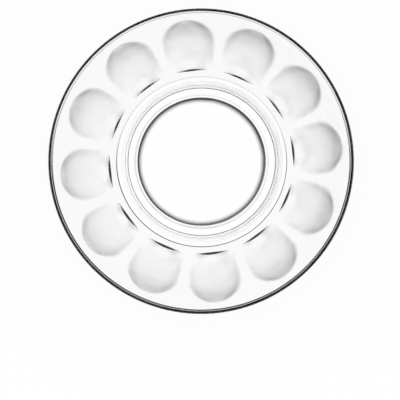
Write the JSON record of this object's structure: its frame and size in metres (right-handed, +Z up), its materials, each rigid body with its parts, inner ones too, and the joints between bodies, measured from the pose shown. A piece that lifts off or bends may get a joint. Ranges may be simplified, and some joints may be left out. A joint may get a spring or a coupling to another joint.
{
  "type": "tea saucer",
  "caption": "Round clear pressed-glass tea saucer with a sloping fluted wall, a recessed seat for a tea glass and a flat bearing ring below.",
  "frame": {"origin": "centre of the flat bearing plane under the base, on the axis of rotation", "axes": "+Z up along the axis of rotation, out of the dish; a rib between two flutes faces each of +X, -X, +Y and -Y"},
  "size_m": [0.11, 0.11, 0.0208],
  "materials": {
    "clear_glass": "fire-polished clear soda-lime glass"
  },
  "bodies": {
    "root": {"glass_saucer": "clear_glass"}
  },
  "joints": []
}
